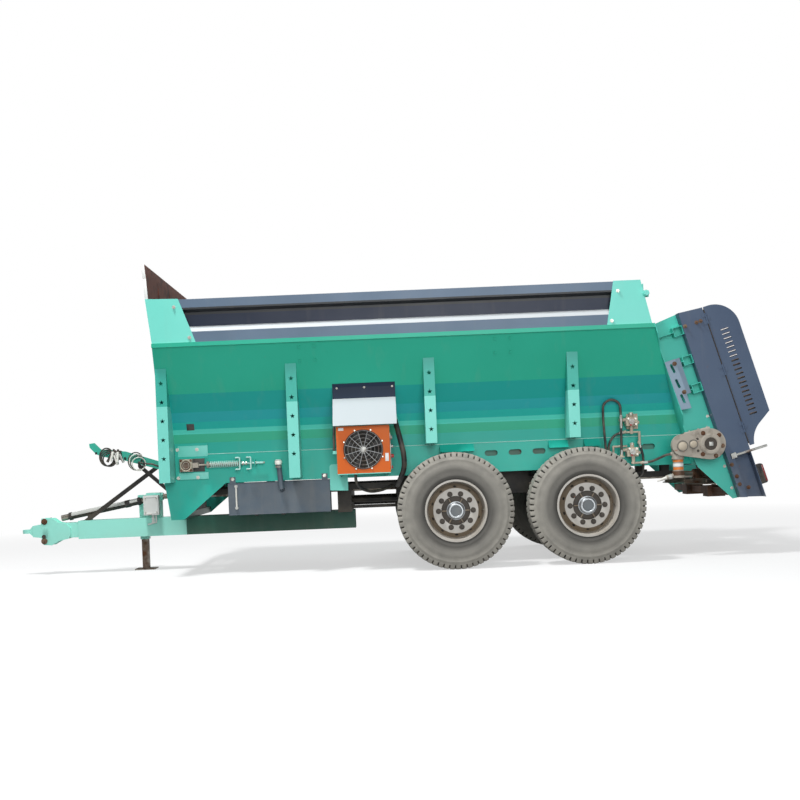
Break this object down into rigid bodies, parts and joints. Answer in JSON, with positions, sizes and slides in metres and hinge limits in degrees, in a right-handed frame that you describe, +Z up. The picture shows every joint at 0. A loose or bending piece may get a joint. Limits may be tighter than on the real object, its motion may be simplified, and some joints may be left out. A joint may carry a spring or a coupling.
{
  "type": "manure spreader",
  "caption": "Towed manure spreader with a flared steel hopper, chain conveyor floor, rear beaters, spinning discs and hinged louvred side guards.",
  "frame": {"origin": "on the ground, at the middle of the overall length and width", "axes": "+X towards the spreading end (the hitch is at -X), +Y towards the machine's right side, +Z up"},
  "size_m": [7.7038, 2.6004, 3.073],
  "materials": {
    "green_paint": "satin",
    "slate_paint": "satin",
    "black_paint": "satin",
    "worn_steel": "worn",
    "cast_grey": "rough",
    "wheel_silver": "weathered",
    "tyre_rubber": "matt",
    "hose_rubber": "matt",
    "orange_paint": "satin",
    "black_plastic": "matt",
    "grey_plastic": "matt",
    "rust_brown": "rusty"
  },
  "bodies": {
    "chassis": {"arm_hoses": "hose_rubber", "axles": "black_paint", "chain_cases": "slate_paint", "chain_takeups": "worn_steel", "chassis_frame": "black_paint", "control_box": "grey_plastic", "conveyor_loop": "worn_steel", "conveyor_shafts": "worn_steel", "cooler_bracket": "green_paint", "cooler_core": "black_plastic", "cooler_hood": "slate_paint", "cooler_hoses": "hose_rubber", "cooler_housing": "orange_paint", "corner_plates": "green_paint", "drawbar_beam": "green_paint", "drawbar_eye": "green_paint", "drive_gearbox": "cast_grey", "drive_motor": "cast_grey", "extension_boards": "slate_paint", "front_gearbox": "cast_grey", "hopper_floor": "worn_steel", "hopper_front_wall": "green_paint", "hopper_side_left": "green_paint", "hopper_side_right": "green_paint", "hose_arm": "green_paint", "jack_tube": "black_paint", "latch_bars": "slate_paint", "leaf_springs": "black_paint", "oil_tank": "slate_paint", "pto_guard": "black_plastic", "rear_bulkhead": "green_paint", "rear_gearbox": "black_paint", "rear_side_frames": "green_paint", "side_posts": "green_paint", "sill_plates": "green_paint", "slotted_brackets": "slate_paint", "spinner_beam": "black_paint", "stone_screen": "rust_brown", "tail_lamps": "black_plastic", "valve_blocks": "cast_grey", "valve_hoses": "hose_rubber"},
    "wheel_front_left": {"tyre_front_left": "tyre_rubber", "wheel_front_left": "wheel_silver"},
    "wheel_front_right": {"tyre_front_right": "tyre_rubber", "wheel_front_right": "wheel_silver"},
    "wheel_rear_left": {"tyre_rear_left": "tyre_rubber", "wheel_rear_left": "wheel_silver"},
    "wheel_rear_right": {"tyre_rear_right": "tyre_rubber", "wheel_rear_right": "wheel_silver"},
    "beater_upper": {"beater_upper": "worn_steel"},
    "beater_lower": {"beater_lower": "worn_steel"},
    "spreading_disc_left": {"spreading_disc_left": "worn_steel"},
    "spreading_disc_right": {"spreading_disc_right": "worn_steel"},
    "cooler_fan": {"cooler_fan": "black_plastic"},
    "pto_shaft": {"pto_shaft": "worn_steel"},
    "driveline": {"driveline": "worn_steel"},
    "jack_leg": {"jack_leg": "worn_steel"},
    "wing_left": {"wing_left": "slate_paint"},
    "wing_right": {"wing_right": "slate_paint"},
    "rear_board": {"rear_board": "green_paint"}
  },
  "joints": [
    {"name": "front_left_wheel_spin", "type": "hinge", "parent": "chassis", "child": "wheel_front_left", "pos_m": [0.74111, -1.15, 0.565], "axis": [0, 1, 0], "continuous": true},
    {"name": "front_right_wheel_spin", "type": "hinge", "parent": "chassis", "child": "wheel_front_right", "pos_m": [0.74111, 1.15, 0.565], "axis": [0, 1, 0], "continuous": true},
    {"name": "rear_left_wheel_spin", "type": "hinge", "parent": "chassis", "child": "wheel_rear_left", "pos_m": [2.0131, -1.15, 0.565], "axis": [0, 1, 0], "continuous": true},
    {"name": "rear_right_wheel_spin", "type": "hinge", "parent": "chassis", "child": "wheel_rear_right", "pos_m": [2.0131, 1.15, 0.565], "axis": [0, 1, 0], "continuous": true},
    {"name": "upper_beater_spin", "type": "hinge", "parent": "chassis", "child": "beater_upper", "pos_m": [3.24406, 0, 1.98284], "axis": [0, 1, 0], "continuous": true},
    {"name": "lower_beater_spin", "type": "hinge", "parent": "chassis", "child": "beater_lower", "pos_m": [3.40217, 0, 1.44562], "axis": [0, 1, 0], "continuous": true},
    {"name": "left_disc_spin", "type": "hinge", "parent": "chassis", "child": "spreading_disc_left", "pos_m": [3.48711, -0.4, 0.7], "axis": [0, 0, 1], "continuous": true},
    {"name": "right_disc_spin", "type": "hinge", "parent": "chassis", "child": "spreading_disc_right", "pos_m": [3.48711, 0.4, 0.7], "axis": [0, 0, 1], "continuous": true},
    {"name": "cooler_fan_spin", "type": "hinge", "parent": "chassis", "child": "cooler_fan", "pos_m": [-0.1289, -1.14, 1.1935], "axis": [0, -1, 0], "continuous": true},
    {"name": "pto_spin", "type": "hinge", "parent": "chassis", "child": "pto_shaft", "pos_m": [-3.4269, 0, 0.599], "axis": [0.9848, 0, 0.1738], "continuous": true},
    {"name": "driveline_spin", "type": "hinge", "parent": "chassis", "child": "driveline", "pos_m": [-2.34789, 0, 0.79], "axis": [1, 0, 0], "continuous": true},
    {"name": "jack_slide", "type": "slide", "parent": "chassis", "child": "jack_leg", "axis": [0, 0, 1], "range_m": [0, 0.25]},
    {"name": "left_wing_hinge", "type": "hinge", "parent": "chassis", "child": "wing_left", "pos_m": [3.4214, -1.118, 1.82655], "axis": [0.2823, 0, -0.9593], "range_deg": [0, 100]},
    {"name": "right_wing_hinge", "type": "hinge", "parent": "chassis", "child": "wing_right", "pos_m": [3.4214, 1.118, 1.82655], "axis": [-0.2823, 0, 0.9593], "range_deg": [0, 100]},
    {"name": "rear_board_hinge", "type": "hinge", "parent": "chassis", "child": "rear_board", "pos_m": [2.6671, 0, 2.59], "axis": [0, -1, 0], "range_deg": [0, 70]}
  ]
}
